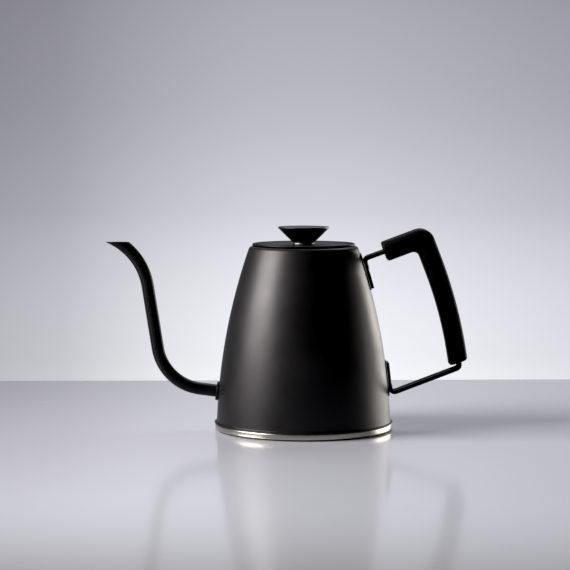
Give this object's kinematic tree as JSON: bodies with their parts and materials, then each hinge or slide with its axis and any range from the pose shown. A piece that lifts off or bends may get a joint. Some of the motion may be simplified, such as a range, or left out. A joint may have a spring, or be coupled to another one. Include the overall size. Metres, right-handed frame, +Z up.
{
  "type": "gooseneck kettle",
  "caption": "Tapered stovetop kettle with a slim gooseneck spout, a lift-off dished lid with a cone knob, and an open handle of twin rods in a moulded grip.",
  "frame": {"origin": "on the body's axis, in the plane that the kettle stands on", "axes": "+Z up the body's axis, +X towards the handle, -X towards the spout, +Y to the right of a person who holds the handle and looks along the spout"},
  "size_m": [0.2996, 0.1478, 0.1683],
  "materials": {
    "black_coating": "matt black baked coating on steel, fine grain, soft sheen",
    "satin_steel": "bare satin steel, turned grain round the axis",
    "cap_steel": "satin steel base, circular grain",
    "polished_steel": "polished steel",
    "aluminium": "plain rolled, sealed inside",
    "grip_resin": "matt black moulded resin, fine spark-eroded texture",
    "knob_resin": "satin black moulded resin",
    "brass": "turned",
    "screw_steel": "plain zinc-plated"
  },
  "bodies": {
    "kettle_body": {"body_shell": "black_coating", "base_pan": "satin_steel", "heat_spreader": "aluminium", "base_cap": "cap_steel", "spout_tube": "black_coating", "spout_collar": "black_coating", "upper_bracket": "black_coating", "lower_bracket": "black_coating", "handle_rod_left": "black_coating", "handle_rod_right": "black_coating", "grip_half_left": "grip_resin", "grip_half_right": "grip_resin", "grip_screws": "screw_steel"},
    "lid": {"lid_cover": "black_coating", "lid_skirt": "satin_steel", "knob_washer": "polished_steel", "lid_knob": "knob_resin", "knob_insert": "brass", "knob_screw": "screw_steel", "knob_lock_washer": "screw_steel"}
  },
  "joints": [
    {"name": "lid_lift", "type": "slide", "parent": "kettle_body", "child": "lid", "axis": [0, 0, 1], "range_m": [0, 0.09]}
  ]
}
